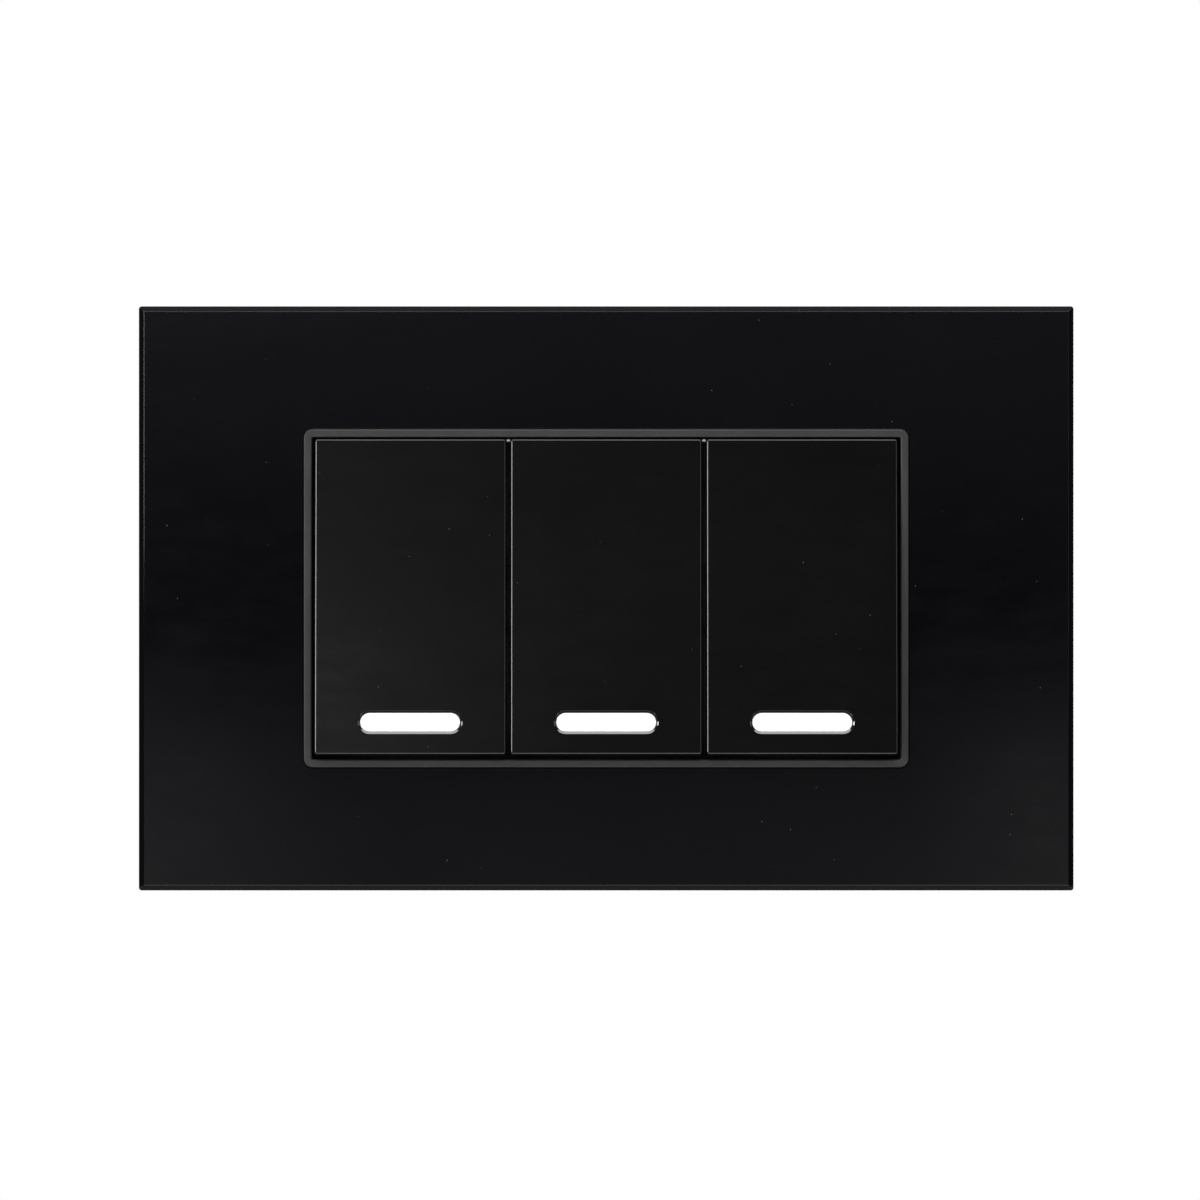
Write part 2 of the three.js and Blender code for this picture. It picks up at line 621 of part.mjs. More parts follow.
MODULE_NAMES.forEach((side, i) => {
  const module = switchModule(side);
  module.position.x = (i - 1) * PITCH;
  wallSwitch.add(module);
});

export default wallSwitch;
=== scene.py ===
import json
import math

import bmesh
import bpy
from mathutils import Matrix, Vector


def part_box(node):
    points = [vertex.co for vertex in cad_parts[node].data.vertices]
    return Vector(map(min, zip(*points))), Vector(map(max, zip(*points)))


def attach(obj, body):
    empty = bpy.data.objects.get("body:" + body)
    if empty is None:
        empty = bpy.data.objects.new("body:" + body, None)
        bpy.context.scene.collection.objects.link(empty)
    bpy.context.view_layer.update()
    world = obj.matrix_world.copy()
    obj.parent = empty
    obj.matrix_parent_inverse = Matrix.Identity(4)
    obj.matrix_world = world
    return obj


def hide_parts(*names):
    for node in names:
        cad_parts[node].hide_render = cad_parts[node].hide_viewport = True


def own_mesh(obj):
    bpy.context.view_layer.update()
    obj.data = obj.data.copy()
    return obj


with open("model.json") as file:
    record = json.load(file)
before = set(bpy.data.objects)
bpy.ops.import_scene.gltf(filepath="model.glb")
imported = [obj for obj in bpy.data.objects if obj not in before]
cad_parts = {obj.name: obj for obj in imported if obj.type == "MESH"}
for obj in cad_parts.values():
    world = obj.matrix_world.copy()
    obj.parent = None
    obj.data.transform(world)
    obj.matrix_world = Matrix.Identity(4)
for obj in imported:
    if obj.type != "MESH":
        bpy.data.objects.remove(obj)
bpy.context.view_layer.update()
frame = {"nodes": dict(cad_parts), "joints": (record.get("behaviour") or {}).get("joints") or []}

# ---------------------------------------------------------------- sizes, in metres, and places from the frame

MM = 0.001
SIDES = ("left", "middle", "right")
JOINTS = {joint["name"]: joint for joint in frame["joints"]}
PITCH = 25.1 * MM
SLIP = 0.1 * MM

PANEL_LOW, PANEL_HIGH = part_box("cover_panel")
CARRIER_LOW, CARRIER_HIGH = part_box("cover_carrier")
WINDOW_W, WINDOW_H = 75.5 * MM, 41.3 * MM
RING_T = 1.05 * MM
RING_CORNER = 1.1 * MM
RIM_T = 1.8 * MM
WEB_FRONT, WEB_BACK = -5.95 * MM, -4.4 * MM
CLIP_X, CLIP_Z = 48.5 * MM, 22 * MM
POST_BACK = -0.7 * MM

ROCKER_W, ROCKER_H = 24.5 * MM, 40.5 * MM
ROCKER_T = 1.6 * MM
ROCKER_WALL = 1.2 * MM
FACE_Y = -4.5 * MM  # the rocker's front; this and every rocker depth is measured from its pivot
END_SKIRT_BACK, SIDE_SKIRT_BACK, EAR_BACK = -0.4 * MM, -1.2 * MM, 1.8 * MM
PIN_R = 1 * MM
BOSS_R, BORE_R, BOSS_BACK = 3 * MM, 2.05 * MM, 6.5 * MM
LENS_W, LENS_H, LENS_Z = 12.65 * MM, 2.25 * MM, -16.1 * MM
SLOT_BEVEL_W, SLOT_BEVEL_T = 0.28 * MM, 0.15 * MM
PLUNGER_FRONT, PLUNGER_TIP = 3 * MM, 10.02 * MM

SCREW_X, SCREW_SEAT = 41.75 * MM, -1.55 * MM
TERMINAL_SCREW_Y, TERMINAL_SCREW_Z = 14 * MM, 16.3 * MM


def module_x(side):
    return (SIDES.index(side) - 1) * PITCH


def rocker_place(side):
    """Where a rocker's own frame stands at rest: at its pivot, tilted back by half of its travel."""
    joint = JOINTS[f"rocker_{side}_tilt"]
    rest_tilt = -math.radians(sum(joint["range_deg"]) / 2)
    return Matrix.Translation(Vector(joint["pos_m"])) @ Matrix.Rotation(rest_tilt, 4, "X")


# ---------------------------------------------------------------- mesh tools

BOX_FACES = ((0, 1, 3, 2), (4, 6, 7, 5), (0, 4, 5, 1), (2, 3, 7, 6), (0, 2, 6, 4), (1, 5, 7, 3))


def mesh_object(name, points, faces):
    mesh = bpy.data.meshes.new(name)
    mesh.from_pydata([tuple(p) for p in points], [], faces)
    work = bmesh.new()
    work.from_mesh(mesh)
    bmesh.ops.remove_doubles(work, verts=work.verts, dist=1e-8)
    bmesh.ops.recalc_face_normals(work, faces=work.faces)
    work.to_mesh(mesh)
    work.free()
    made = bpy.data.objects.new(name, mesh)
    bpy.context.scene.collection.objects.link(made)
    return made


def skin(name, loops, ring=False):
    """A closed skin over loops of equal length.

    A ring's last loop joins its first. Otherwise both ends are capped.
    """
    count = len(loops[0])
    points = [p for loop in loops for p in loop]
    faces = []
    pairs = range(len(loops)) if ring else range(len(loops) - 1)
    for i in pairs:
        a, b = i * count, (i + 1) % len(loops) * count
        for j in range(count):
            k = (j + 1) % count
            faces.append((a + j, a + k, b + k, b + j))
    if not ring:
        last = (len(loops) - 1) * count
        faces.append(tuple(range(count))[::-1])
        faces.append(tuple(range(last, last + count)))
    return mesh_object(name, points, faces)


def arc(centre, radius, start, end, steps):
    """Points of an arc in two coordinates, both ends included; angles in degrees."""
    for i in range(steps + 1):
        angle = math.radians(start + (end - start) * i / steps)
        yield centre[0] + radius * math.cos(angle), centre[1] + radius * math.sin(angle)


def rounded_outline(a, b, radius, steps):
    """Points of a rectangle of half sizes a and b, grown by a radius that rounds its corners."""
    for u, v, start in ((a, b, 0), (-a, b, 90), (-a, -b, 180), (a, -b, 270)):
        yield from arc((u, v), radius, start, start + 90, steps)


def rounded_loop(w, h, radius, y, steps=6):
    """A rounded rectangle in x and z at depth y."""
    outline = rounded_outline(w / 2 - radius, h / 2 - radius, radius, steps)
    return [Vector((u, y, v)) for u, v in outline]


def slot_loop(length, height, y, z=0.0, steps=12):
    """A slot with round ends in x and z at depth y."""
    radius, half = height / 2, (length - height) / 2
    loop = []
    for x, start in ((half, -90), (-half, 90)):
        loop += [Vector((u, y, v)) for u, v in arc((x, z), radius, start, start + 180, steps)]
    return loop


def round_front(front, radius, steps=5):
    """Insets and depths of an edge that is rounded towards the front."""
    for i in range(steps + 1):
        angle = math.pi / 2 * i / steps
        yield radius * (1 - math.cos(angle)), front + radius * (1 - math.sin(angle))


def rounded_slab(name, w, h, corner, front, back, radius):
    """A rounded rectangle from front to back, with its front edge rounded."""
    least_corner = 0.02 * MM
    loops = [rounded_loop(w, h, corner, back)]
    for inset, y in round_front(front, radius):
        loops.append(rounded_loop(w - 2 * inset, h - 2 * inset, max(corner - inset, least_corner), y))
    return skin(name, loops)


def blocks(*boxes):
    """Plain boxes that don't touch, in one mesh, that others are cut by or joined with."""
    points, faces = [], []
    for x, y, z in boxes:
        first = len(points)
        points += [(a, b, c) for a in sorted(x) for b in sorted(y) for c in sorted(z)]
        faces += [tuple(first + i for i in face) for face in BOX_FACES]
    return mesh_object("blocks", points, faces)


def mirrored(x, y, z):
    """A box on the +X side and its twin on the -X side."""
    return (x, y, z), ((-x[1], -x[0]), y, z)


def lathe(name, profile, sides=48):
    """A body turned about the y axis, from (radius, place) pairs that start and end on the axis."""
    points, rows = [], []
    for radius, place in profile:
        start = len(points)
        if radius == 0:
            points.append(Vector((0, place, 0)))
            rows.append([start] * sides)
        else:
            angles = [2 * math.pi * i / sides for i in range(sides)]
            points += [Vector((radius * math.cos(t), place, radius * math.sin(t))) for t in angles]
            rows.append(list(range(start, start + sides)))
    faces = []
    for lower, upper in zip(rows, rows[1:]):
        for i in range(sides):
            k = (i + 1) % sides
            faces.append(tuple(dict.fromkeys((lower[i], lower[k], upper[k], upper[i]))))
    return mesh_object(name, points, faces)


def threaded(name, radius, depth, pitch, start, end, sides=24, steps=8):
    """A threaded rod along y whose thread runs out at both ends."""
    count = round((end - start) / pitch * steps)
    loops = []
    for i in range(count + 1):
        y = start + (end - start) * i / count
        fade = min(1, i / steps, (count - i) / steps)
        loop = []
        for j in range(sides):
            phase = (y / pitch + j / sides) % 1
            groove = depth * fade * (1 - abs(2 * phase - 1))
            angle = 2 * math.pi * j / sides
            reach = radius - groove - (1 - fade) * depth * 0.5
            loop.append(Vector((reach * math.cos(angle), y, reach * math.sin(angle))))
        loops.append(loop)
    return skin(name, loops)


def tube(name, path, radius, sides=10):
    """A round wire along a path, with closed ends; its section follows the path without twisting."""
    loops = []
    across = Vector((0, 1, 0))
    for i, p in enumerate(path):
        ahead = (path[min(i + 1, len(path) - 1)] - path[max(i - 1, 0)]).normalized()
        across = (across - ahead * across.dot(ahead)).normalized()
        other = ahead.cross(across)
        angles = [2 * math.pi * j / sides for j in range(sides)]
        loops.append([p + radius * (math.cos(t) * across + math.sin(t) * other) for t in angles])
    return skin(name, loops)


def settle(made):
    """Puts what an object's modifiers make of its mesh in the mesh's place."""
    bpy.context.view_layer.update()
    seen = made.evaluated_get(bpy.context.evaluated_depsgraph_get())
    mesh = bpy.data.meshes.new_from_object(seen)
    made.modifiers.clear()
    old = made.data
    made.data = mesh
    bpy.data.meshes.remove(old)
    return made


def combine(made, others, how):
    for other in others:
        step = made.modifiers.new("combine", "BOOLEAN")
        step.operation = how
        step.solver = "EXACT"
        step.object = other
        settle(made)
        bpy.data.objects.remove(other)
    return made


def join(made, *others):
    return combine(made, others, "UNION")


def cut(made, *others):
    return combine(made, others, "DIFFERENCE")


def turn_upright(made, front_up):
    """Turns a body along y to stand along z, with its front up or down."""
    made.data.transform(Matrix.Rotation(math.radians(-90 if front_up else 90), 4, "X"))


def soften(made, width, segments=3, angle=32):
    """Merges the triangles of each flat face and rounds every edge sharper than the angle.

    Flat faces keep their flat shading.
    """
    planar = made.modifiers.new("planar", "DECIMATE")
    planar.decimate_type = "DISSOLVE"
    planar.angle_limit = math.radians(1)
    edges = made.modifiers.new("edges", "BEVEL")
    edges.width = width
    edges.segments = segments
    edges.limit_method = "ANGLE"
    edges.angle_limit = math.radians(angle)
    edges.miter_outer = "MITER_ARC"
    return smooth(made)


def smooth(made):
    """Shades curved stretches smoothly, without tilting the shading of the flat faces beside them."""
    made.data.polygons.foreach_set("use_smooth", [True] * len(made.data.polygons))
    weighted = made.modifiers.new("normals", "WEIGHTED_NORMAL")
    weighted.weight = 80
    return made


def smooth_by_angle(made, angle=35):
    """Smooth shading everywhere but across edges sharper than the angle."""
    made.data.polygons.foreach_set("use_smooth", [True] * len(made.data.polygons))
    made.data.set_sharp_from_angle(angle=math.radians(angle))
    return made


def dress(made, material):
    made.data.materials.clear()
    made.data.materials.append(material)
    return made


def finish_piece(made, name, body, material, *nodes):
    """Names a new piece, and says what it moves with, is made of and stands for."""
    made.name = name
    made.data.name = name
    dress(made, material)
    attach(made, body)
    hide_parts(*nodes)
    return made


def copies(shape, count):
    """The shape and enough copies of it, each with its own mesh."""
    made = [shape]
    for _ in range(count - 1):
        other = shape.copy()
        other.data = shape.data.copy()
        bpy.context.scene.collection.objects.link(other)
        made.append(other)
    return made


# ---------------------------------------------------------------- material tools

class Nodes:
    """A node tree, with the few node kinds that this scene uses.

    Inputs are numbers, colours or other outputs.
    """

    def __init__(self, owner, place):
        owner.use_nodes = True
        self.tree = owner.node_tree
        self.place = self.add("ShaderNodeTexCoord").outputs[place]

    def add(self, kind, inputs=None, **settings):
        node = self.tree.nodes.new(kind)
        for setting, value in settings.items():
            setattr(node, setting, value)
        for socket, value in (inputs or {}).items():
            self.feed(node.inputs[socket], value)
        return node

    def feed(self, socket, value):
        if isinstance(value, bpy.types.NodeSocket):
            self.tree.links.new(value, socket)
        else:
            socket.default_value = value

    def scaled(self, size, stretch=(1, 1, 1)):
        scale = [s / size for s in stretch]
        return self.add("ShaderNodeMapping", {"Vector": self.place, "Scale": scale}).outputs["Vector"]

    def noise(self, size, detail=2.0, roughness=0.5, stretch=(1, 1, 1)):
        """Noise whose features are about size metres across."""
        inputs = {"Vector": self.scaled(size, stretch), "Scale": 1, "Detail": detail, "Roughness": roughness}
        return self.add("ShaderNodeTexNoise", inputs).outputs["Fac"]

    def cells(self, size):
        """Distance to the nearest of points that lie about size metres apart."""
        return self.add("ShaderNodeTexVoronoi", {"Vector": self.scaled(size), "Scale": 1}).outputs["Distance"]

    def span(self, value, low, high, to_low=0.0, to_high=1.0, smooth=False):
        """Maps low..high of a value to to_low..to_high, and holds it there outside."""
        inputs = {"Value": value, "From Min": low, "From Max": high, "To Min": to_low, "To Max": to_high}
        how = "SMOOTHSTEP" if smooth else "LINEAR"
        return self.add("ShaderNodeMapRange", inputs, interpolation_type=how).outputs["Result"]

    def math(self, how, a, b):
        return self.add("ShaderNodeMath", {0: a, 1: b}, operation=how).outputs["Value"]

    def blend(self, factor, a, b):
        """A colour between a and b."""
        a, b = [(*c, 1) if isinstance(c, tuple) else c for c in (a, b)]
        return self.add("ShaderNodeMix", {0: factor, 6: a, 7: b}, data_type="RGBA").outputs[2]


class Finish(Nodes):
    """A material with one Principled shader, for one of the record's slots."""

    def __init__(self, slot):
        self.material = bpy.data.materials.new(f"{slot}_finish")
        self.material["slot"] = slot
        super().__init__(self.material, "Object")
        self.shader = self.tree.nodes["Principled BSDF"]

    def set(self, inputs):
        for socket, value in inputs.items():
            self.feed(self.shader.inputs[socket], value)
        return self.material

    def bump(self, height, depth):
        """Bumps of about depth metres."""
        return self.add("ShaderNodeBump", {"Height": height, "Distance": depth}).outputs["Normal"]


def moulded(name, low, high, roughness, grain, depth):
    """Moulded plastic: a fine eroded grain, slow changes of tone, and a little polish worn in."""
    finish = Finish(name)
    tone = finish.span(finish.noise(9 * MM, detail=3), 0.3, 0.7)
    wear = finish.noise(3 * MM, detail=4, roughness=0.6)
    fine = finish.noise(grain, detail=3, roughness=0.65)
    pits = finish.math("MULTIPLY", finish.cells(grain * 1.6), 0.4)
    return finish.set({
        "Base Color": finish.blend(tone, low, high),
        "Roughness": finish.span(wear, 0.25, 0.75, roughness - 0.08, roughness + 0.08),
        "Specular IOR Level": 0.35,
        "Normal": finish.bump(finish.math("ADD", fine, pits), depth),
    })


def gloss(name, low, high, roughness, ripple_depth):
    """Polished black plastic: slow ripples left by moulding, fine wiping marks and a few grains of dust."""
    finish = Finish(name)
    tone = finish.span(finish.noise(22 * MM, detail=2), 0.3, 0.7)
    dust = finish.span(finish.cells(3.1 * MM), 0.012, 0.03, 1, 0)
    body = finish.blend(tone, low, high)
    smear = finish.noise(7 * MM, detail=5, roughness=0.6, stretch=(1, 1, 2.6))
    wiped = finish.span(smear, 0.3, 0.75, roughness * 0.8, roughness * 1.5)
    return finish.set({
        "Base Color": finish.blend(dust, body, (0.04, 0.04, 0.04)),
        "Roughness": finish.math("ADD", wiped, finish.math("MULTIPLY", dust, 0.4)),
        "Specular IOR Level": 0.44,
        "Normal": finish.bump(finish.noise(5 * MM, detail=1), ripple_depth),
    })


def metal(name, low, high, roughness, streak):
    """Drawn or plated metal, with streaks and slight tarnish."""
    finish = Finish(name)
    tone = finish.span(finish.noise(1.4 * MM, detail=4, roughness=0.6), 0.3, 0.7)
    lines = finish.noise(0.3 * MM, detail=3, roughness=0.7, stretch=streak)
    return finish.set({
        "Base Color": finish.blend(tone, low, high),
        "Roughness": finish.span(lines, 0.25, 0.75, roughness * 0.7, roughness * 1.4),
        "Metallic": 1.0,
        "Normal": finish.bump(lines, 0.004 * MM),
    })


def pale_plastic(name, low, high, roughness, scatter, painted_glow=0.0):
    """Pale plastic that light passes into. Its glow is painted light: an even white emission that makes it
    brighter than the lamps alone would.
    """
    finish = Finish(name)
    tone = finish.span(finish.noise(2 * MM, detail=3), 0.3, 0.7)
    wear = finish.noise(0.8 * MM, detail=3)
    return finish.set({
        "Base Color": finish.blend(tone, low, high),
        "Roughness": finish.span(wear, 0.3, 0.7, roughness * 0.8, roughness * 1.2),
        "Subsurface Weight": scatter,
        "Subsurface Scale": 1 * MM,
        # painted glow: the emission stands in for light falling on the plastic
        "Emission Color": (1, 1, 0.985, 1),
        "Emission Strength": painted_glow,
        "Normal": finish.bump(finish.noise(0.5 * MM, detail=2), 0.003 * MM),
    })


PANEL_BLACK = gloss(
    "panel_black", low=(0.0009, 0.0009, 0.0014), high=(0.0013, 0.0013, 0.0019),
    roughness=0.07, ripple_depth=0.0012 * MM,
)
ROCKER_BLACK = gloss(
    "rocker_black", low=(0.0014, 0.0013, 0.0013), high=(0.0020, 0.0019, 0.0019),
    roughness=0.1, ripple_depth=0.001 * MM,
)
CARRIER_BLACK = moulded(
    "carrier_black", low=(0.0115, 0.0112, 0.0108), high=(0.0155, 0.015, 0.0146),
    roughness=0.5, grain=0.12 * MM, depth=0.012 * MM,
)
FRAME_BLACK = moulded(
    "frame_black", low=(0.016, 0.016, 0.0165), high=(0.022, 0.022, 0.023),
    roughness=0.55, grain=0.2 * MM, depth=0.02 * MM,
)
HOUSING_GREY = moulded(
    "housing_grey", low=(0.045, 0.047, 0.05), high=(0.06, 0.062, 0.066),
    roughness=0.58, grain=0.25 * MM, depth=0.02 * MM,
)
# The lens gets a painted glow, so that it reads fully white; it is not lit from inside.
LENS_WHITE = pale_plastic(
    "lens_white", low=(0.93, 0.93, 0.92), high=(0.97, 0.97, 0.96),
    roughness=0.28, scatter=0.15, painted_glow=0.35,
)
NYLON_WHITE = pale_plastic(
    "nylon_white", low=(0.72, 0.7, 0.62), high=(0.8, 0.78, 0.7), roughness=0.4, scatter=0.3,
)
BRASS = metal(
    "brass", low=(0.62, 0.44, 0.19), high=(0.78, 0.58, 0.28), roughness=0.3, streak=(1, 6, 1),
)
SPRING_STEEL = metal(
    "spring_steel", low=(0.42, 0.42, 0.43), high=(0.56, 0.56, 0.57), roughness=0.24, streak=(1, 1, 6),
)
ZINC_STEEL = metal(
    "zinc_steel", low=(0.55, 0.56, 0.58), high=(0.7, 0.71, 0.72), roughness=0.28, streak=(5, 1, 5),
)


# ---------------------------------------------------------------- cover

def gloss_panel():
    """The flat panel: a chamfered edge with softened arrises, and a window with rounded edges."""
    w, h = PANEL_HIGH.x - PANEL_LOW.x, PANEL_HIGH.z - PANEL_LOW.z
    front, back = PANEL_LOW.y, PANEL_HIGH.y
    chamfer, soft, window_edge = 0.7 * MM, 0.05 * MM, 0.03 * MM
    corner, least_corner = 0.35 * MM, 0.05 * MM
    open_w, open_h = WINDOW_W + 2 * (RING_T + SLIP), WINDOW_H + 2 * (RING_T + SLIP)
    open_corner = RING_CORNER + SLIP
    outer_edge = (  # how far in and how deep, from the back to the front face
        (soft, back),
        (0, back - soft),
        (0, front + chamfer + soft),
        (0.3 * soft, front + chamfer + 0.35 * soft),
        (chamfer - 0.35 * soft, front + 0.3 * soft),
        (chamfer + 0.3 * soft, front + 0.05 * soft),
        (chamfer + soft, front),
    )
    loops = []
    for inset, y in outer_edge:
        loops.append(rounded_loop(w - 2 * inset, h - 2 * inset, max(corner - inset, least_corner), y))
    inner_edge = [(u, front + v) for u, v in arc((window_edge, window_edge), window_edge, 270, 180, 4)]
    inner_edge += [(0, back - window_edge), (window_edge, back)]
    for growth, y in inner_edge:
        loops.append(rounded_loop(open_w + 2 * growth, open_h + 2 * growth, open_corner + growth, y))
    return smooth(skin("panel", loops, ring=True))


def collar(front, back):
    """The ring that lines the window: a closed band with slightly rounded front edges."""
    outer_w, outer_h = WINDOW_W + 2 * RING_T, WINDOW_H + 2 * RING_T
    inner_corner, outer_edge, inner_edge = 0.2 * MM, 0.2 * MM, 0.25 * MM
    loops = [rounded_loop(outer_w, outer_h, RING_CORNER, back)]
    for inset, y in round_front(front, outer_edge):
        loops.append(rounded_loop(outer_w - 2 * inset, outer_h - 2 * inset, RING_CORNER - inset, y))
    for inset, y in reversed(list(round_front(front, inner_edge))):
        loops.append(rounded_loop(WINDOW_W + 2 * inset, WINDOW_H + 2 * inset, inner_corner + inset, y))
    loops.append(rounded_loop(WINDOW_W, WINDOW_H, inner_corner, back))
    return skin("collar", loops, ring=True)


def ribs_and_posts(inner_w, inner_h):
    """The boxes of the ribs between the web and the rim, and of the four posts that carry the clips."""
    half_t, rib_h, sunk = 0.5 * MM, 1 * MM, 0.2 * MM
    upright_x, level_z = (-36 * MM, -12 * MM, 12 * MM, 36 * MM), (-11 * MM, 11 * MM)
    upright_start, level_start = 23.5 * MM, 39.5 * MM
    post_half_w, post_half_h = 1 * MM, 2.5 * MM
    into = WEB_BACK - sunk
    rib_y = (into, WEB_BACK + rib_h)
    for sign in (-1, 1):
        for x in upright_x:
            yield (x - half_t, x + half_t), rib_y, (sign * upright_start, sign * (inner_h + sunk))
        for z in level_z:
            yield (sign * level_start, sign * (inner_w + sunk)), rib_y, (z - half_t, z + half_t)
        for z in (-CLIP_Z, CLIP_Z):
            across = (sign * CLIP_X - post_half_w, sign * CLIP_X + post_half_w)
            yield across, (into, POST_BACK), (z - post_half_h, z + post_half_h)


def carrier():
    """The moulding behind the panel: web, rim, ribs, clip posts and the ring that lines the window."""
    corner, hollow_corner, window_corner, overlap = 0.5 * MM, 0.8 * MM, 0.4 * MM, 0.05 * MM
    half_w, half_h = CARRIER_HIGH.x, CARRIER_HIGH.z
    made = skin("carrier", [rounded_loop(2 * half_w, 2 * half_h, corner, y) for y in (WEB_FRONT, 0)])
    inner_w, inner_h = half_w - RIM_T, half_h - RIM_T
    hollow = [rounded_loop(2 * inner_w, 2 * inner_h, hollow_corner, y) for y in (WEB_BACK, MM)]
    cut(made, skin("hollow", hollow))
    open_w, open_h = WINDOW_W + RING_T, WINDOW_H + RING_T
    window = [rounded_loop(open_w, open_h, window_corner, y) for y in (WEB_FRONT - MM, MM)]
    cut(made, skin("window", window))
    join(made, collar(CARRIER_LOW.y, WEB_BACK - overlap))
    join(made, blocks(*ribs_and_posts(inner_w, inner_h)))
    pry_notch = ((30 * MM, 36 * MM), (-1.4 * MM, MM), (-half_h - MM, -inner_h + MM))
    cut(made, blocks(*mirrored(*pry_notch)))
    return soften(made, 0.14 * MM)


def gap_nib(side):
    """A small glossy nib on the ring's upper edge, between two rockers. Its front leans back."""
    half_w, height, lean, depth = 0.24 * MM, 0.6 * MM, 0.32 * MM, 2 * MM
    below_ring, behind_ring = 0.01 * MM, 0.1 * MM
    top, front = WINDOW_H / 2 - below_ring, CARRIER_LOW.y + behind_ring
    back, foot = front + depth, top - height
    profile = ((front, foot), (front + lean, top), (back, top), (back, foot))
    middle = side * PITCH / 2
    loops = [[Vector((x, y, z)) for y, z in profile] for x in (middle - half_w, middle + half_w)]
    return soften(skin("nib", loops), 0.04 * MM)


def curve_through(points, steps=5):
    """A smooth path that passes through all the points."""
    path = []
    for i in range(len(points) - 1):
        a, b = points[i], points[i + 1]
        before, after = points[max(i - 1, 0)], points[min(i + 2, len(points) - 1)]
        for step in range(steps):
            t = step / steps
            bend = (2 * before - 5 * a + 4 * b - after) * t ** 2
            twist = (3 * a - before - 3 * b + after) * t ** 3
            path.append(0.5 * (2 * a + (b - before) * t + bend + twist))
    path.append(points[-1])
    return path


def snap_clip(x, z):
    """A spring-steel strip folded over a post: two bulges catch behind the frame's lips."""
    half_strip_w, half_core_t, edge = 2.1, 0.05, 0.1  # in millimetres, as is the profile below
    half = (
        (0, -0.36), (0.75, -0.36), (1.2, -0.5), (2.15, -1.35),
        (1.72, -2.0), (1.5, -2.6), (1.5, -3.3), (1.75, -4.1),
    )
    line = [Vector((-u, y, 0)) for u, y in half[:0:-1]] + [Vector((u, y, 0)) for u, y in half]
    path = curve_through(line)
    section = list(rounded_outline(half_strip_w, half_core_t, edge, 3))
    loops = []
    for i, p in enumerate(path):
        ahead = (path[min(i + 1, len(path) - 1)] - path[max(i - 1, 0)]).normalized()
        out = Vector((-ahead.y, ahead.x, 0))
        loops.append([(p + out * v) * MM + Vector((x, 0, z + u * MM)) for u, v in section])
    return smooth(skin("clip", loops))


finish_piece(gloss_panel(), "cover_panel_gloss", "cover", PANEL_BLACK, "cover_panel")
finish_piece(carrier(), "cover_carrier_moulding", "cover", CARRIER_BLACK, "cover_carrier")
for side, across in ((-1, "left"), (1, "right")):
    finish_piece(gap_nib(side), f"gap_nib_{across}", "cover", ROCKER_BLACK)
    for level, height in ((-1, "lower"), (1, "upper")):
        clip = snap_clip(side * CLIP_X, level * CLIP_Z)
        name = f"snap_clip_{height}_{across}"
        finish_piece(clip, f"{name}_sheet", "cover", SPRING_STEEL, name)


# ---------------------------------------------------------------- rockers, lenses, plungers and springs

def slot_tool():
    """Cuts the lens slot and the sloping rim around it."""
    slot_w, slot_h = LENS_W + 2 * SLIP, LENS_H + 2 * SLIP
    back = FACE_Y + ROCKER_T + 0.1 * MM
    sections = ((0, back), (0, FACE_Y + SLOT_BEVEL_T), (2 * SLOT_BEVEL_W, FACE_Y - SLOT_BEVEL_T))
    loops = [slot_loop(slot_w + 2 * growth, slot_h + 2 * growth, y, LENS_Z) for growth, y in sections]
    return skin("slot", loops)


def pivot_pin(sign, inner_w):
    """A pin on the +X or -X ear that points at the rocker's middle."""
    tip, root, edge = inner_w - 1.55 * MM, inner_w + 0.3 * MM, 0.2 * MM
    made = lathe("pin", [(0, tip), (PIN_R - edge, tip), (PIN_R, tip + edge), (PIN_R, root), (0, root)], 32)
    made.data.transform(Matrix.Rotation(math.radians(-90 * sign), 4, "Z"))
    return made


def rocker_shape():
    """A rocker in its own frame: face plate with the lens slot, skirt, ears, pins and the plunger's boss."""
    corner, front_edge, hollow_corner = 0.35 * MM, 0.26 * MM, 0.5 * MM
    sunk, ear_half_h, ear_step = 0.2 * MM, 3.2 * MM, 0.02 * MM
    plate_back = FACE_Y + ROCKER_T
    into = plate_back - sunk
    half_w = ROCKER_W / 2
    inner_w, inner_h = half_w - ROCKER_WALL, ROCKER_H / 2 - ROCKER_WALL
    made = rounded_slab("rocker", ROCKER_W, ROCKER_H, corner, FACE_Y, END_SKIRT_BACK, front_edge)
    hollow = [rounded_loop(2 * inner_w, 2 * inner_h, hollow_corner, y) for y in (plate_back, MM)]
    cut(made, skin("hollow", hollow))
    cut(made, blocks(((-half_w - MM, half_w + MM), (SIDE_SKIRT_BACK, MM), (-inner_h, inner_h))))
    ear_x = (inner_w + ear_step, half_w - ear_step)
    join(made, blocks(*mirrored(ear_x, (into, EAR_BACK), (-ear_half_h, ear_half_h))))
    for sign in (-1, 1):
        join(made, pivot_pin(sign, inner_w))
    join(made, lathe("boss", [(0, into), (BOSS_R, into), (BOSS_R, BOSS_BACK), (0, BOSS_BACK)]))
    rib_x, rib_y = (-0.5 * MM, 0.5 * MM), (into, plate_back + 1.4 * MM)
    upper_rib_z = (BOSS_R - 0.3 * MM, inner_h + 0.2 * MM)
    lower_rib_z = (LENS_Z + 2.8 * MM, -BOSS_R + 0.3 * MM)
    join(made, blocks((rib_x, rib_y, upper_rib_z), (rib_x, rib_y, lower_rib_z)))
    far = BOSS_BACK + MM
    cut(made, lathe("bore", [(0, plate_back), (BORE_R, plate_back), (BORE_R, far), (0, far)]))
    cut(made, slot_tool())
    return soften(made, 0.05 * MM, angle=22)


